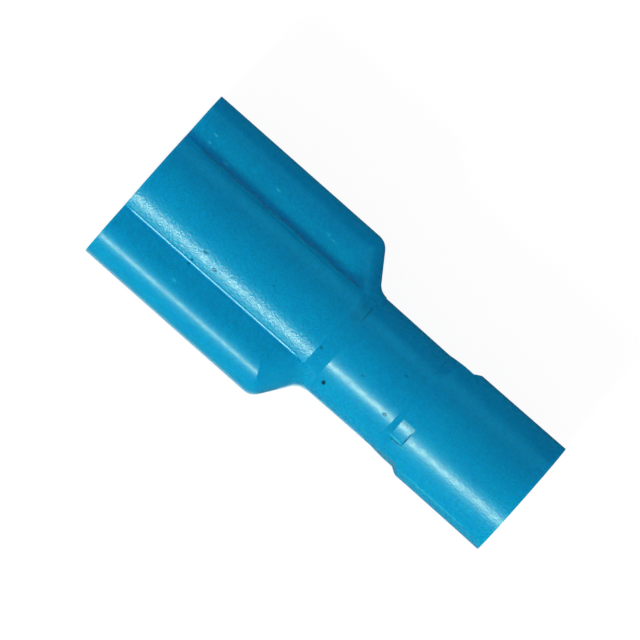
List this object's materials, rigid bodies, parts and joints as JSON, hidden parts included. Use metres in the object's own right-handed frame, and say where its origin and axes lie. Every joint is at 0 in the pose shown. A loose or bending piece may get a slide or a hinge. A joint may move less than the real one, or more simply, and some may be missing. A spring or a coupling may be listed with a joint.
{
  "type": "female spade terminal",
  "caption": "Insulated female spade terminal: a flat wide mouth with a rolled receptacle inside, sloped shoulders, and a stepped round barrel for crimping a wire.",
  "frame": {"origin": "centre of the mouth, on the axis of the wire barrel, where the tab's middle plane lies", "axes": "+X along the terminal from the mouth to the wire end, +Y across the tab's width, +Z square to the tab, on the side of the spring rolls"},
  "size_m": [0.0216, 0.009, 0.0059],
  "materials": {
    "nylon": "satin",
    "tinned_brass": "satin",
    "tinned_copper": "satin"
  },
  "bodies": {
    "root": {"insulator": "nylon", "terminal": "tinned_brass", "sleeve": "tinned_copper"}
  },
  "joints": []
}
